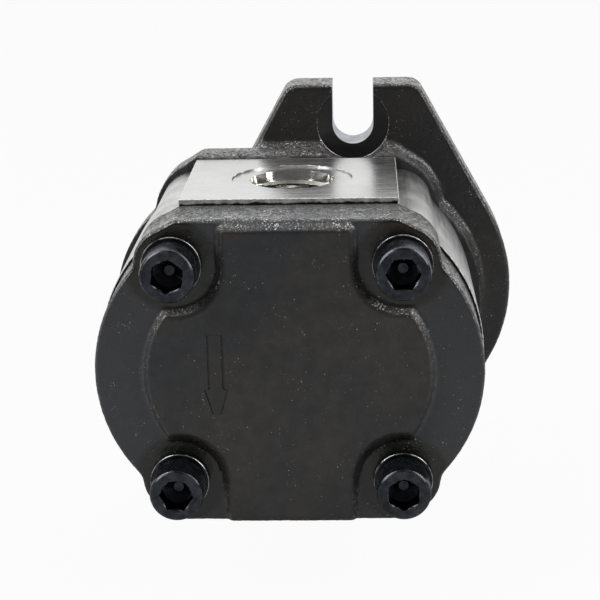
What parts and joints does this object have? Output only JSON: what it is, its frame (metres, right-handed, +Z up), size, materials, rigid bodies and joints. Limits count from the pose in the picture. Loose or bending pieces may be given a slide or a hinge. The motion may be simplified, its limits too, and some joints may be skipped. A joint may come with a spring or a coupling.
{
  "type": "hydraulic gear pump",
  "caption": "External gear pump with a keyed drive shaft, a round pilot, a slotted flange, an outlet port on top, an inlet port below and a screwed rear cover.",
  "frame": {"origin": "middle of the pilot on the mounting face, on the drive shaft's axis", "axes": "+Y along the drive shaft, out of the mounting face towards the engine; +Z up through the outlet port's side; +X to the right seen from the rear cover"},
  "size_m": [0.1203, 0.1371, 0.127],
  "materials": {
    "black_casting": "semi-gloss black paint on cast iron",
    "machined_housing": "bright machined, fine tool marks",
    "ground_steel": "ground bright steel",
    "spring_steel": "blued spring steel",
    "block_aluminium": "satin machined",
    "bush_bronze": "sintered bronze",
    "seal_rubber": "matte nitrile rubber",
    "backup_plastic": "matte",
    "black_oxide_steel": "black oxide with a light oil sheen"
  },
  "bodies": {
    "housing": {"rear_cover": "black_casting", "gear_body": "machined_housing", "mounting_flange": "black_casting", "seal_retaining_ring": "spring_steel", "shaft_seal_case": "ground_steel", "shaft_seal_lip": "seal_rubber", "garter_spring": "spring_steel", "front_bearing_block": "block_aluminium", "rear_bearing_block": "block_aluminium", "front_drive_bush": "bush_bronze", "front_driven_bush": "bush_bronze", "rear_drive_bush": "bush_bronze", "rear_driven_bush": "bush_bronze", "front_body_seal": "seal_rubber", "rear_body_seal": "seal_rubber", "front_balance_seal": "seal_rubber", "rear_balance_seal": "seal_rubber", "front_backup_ring": "backup_plastic", "rear_backup_ring": "backup_plastic", "front_dowel_drive_side": "ground_steel", "front_dowel_driven_side": "ground_steel", "rear_dowel_drive_side": "ground_steel", "rear_dowel_driven_side": "ground_steel", "cap_screw_upper_left": "black_oxide_steel", "cap_screw_upper_right": "black_oxide_steel", "cap_screw_lower_left": "black_oxide_steel", "cap_screw_lower_right": "black_oxide_steel", "washer_upper_left": "black_oxide_steel", "washer_upper_right": "black_oxide_steel", "washer_lower_left": "black_oxide_steel", "washer_lower_right": "black_oxide_steel"},
    "drive_gear": {"drive_gear_shaft": "ground_steel", "shaft_key": "ground_steel"},
    "driven_gear": {"driven_gear_shaft": "ground_steel"}
  },
  "joints": [
    {"name": "drive_spin", "type": "hinge", "parent": "housing", "child": "drive_gear", "pos_m": [0, 0, 0], "axis": [0, 1, 0], "continuous": true},
    {"name": "driven_spin", "type": "hinge", "parent": "housing", "child": "driven_gear", "pos_m": [-0.034, 0, 0], "axis": [0, 1, 0], "continuous": true}
  ],
  "couplings": [
    {"joint": "driven_spin", "follows": "drive_spin", "ratio": -1}
  ]
}
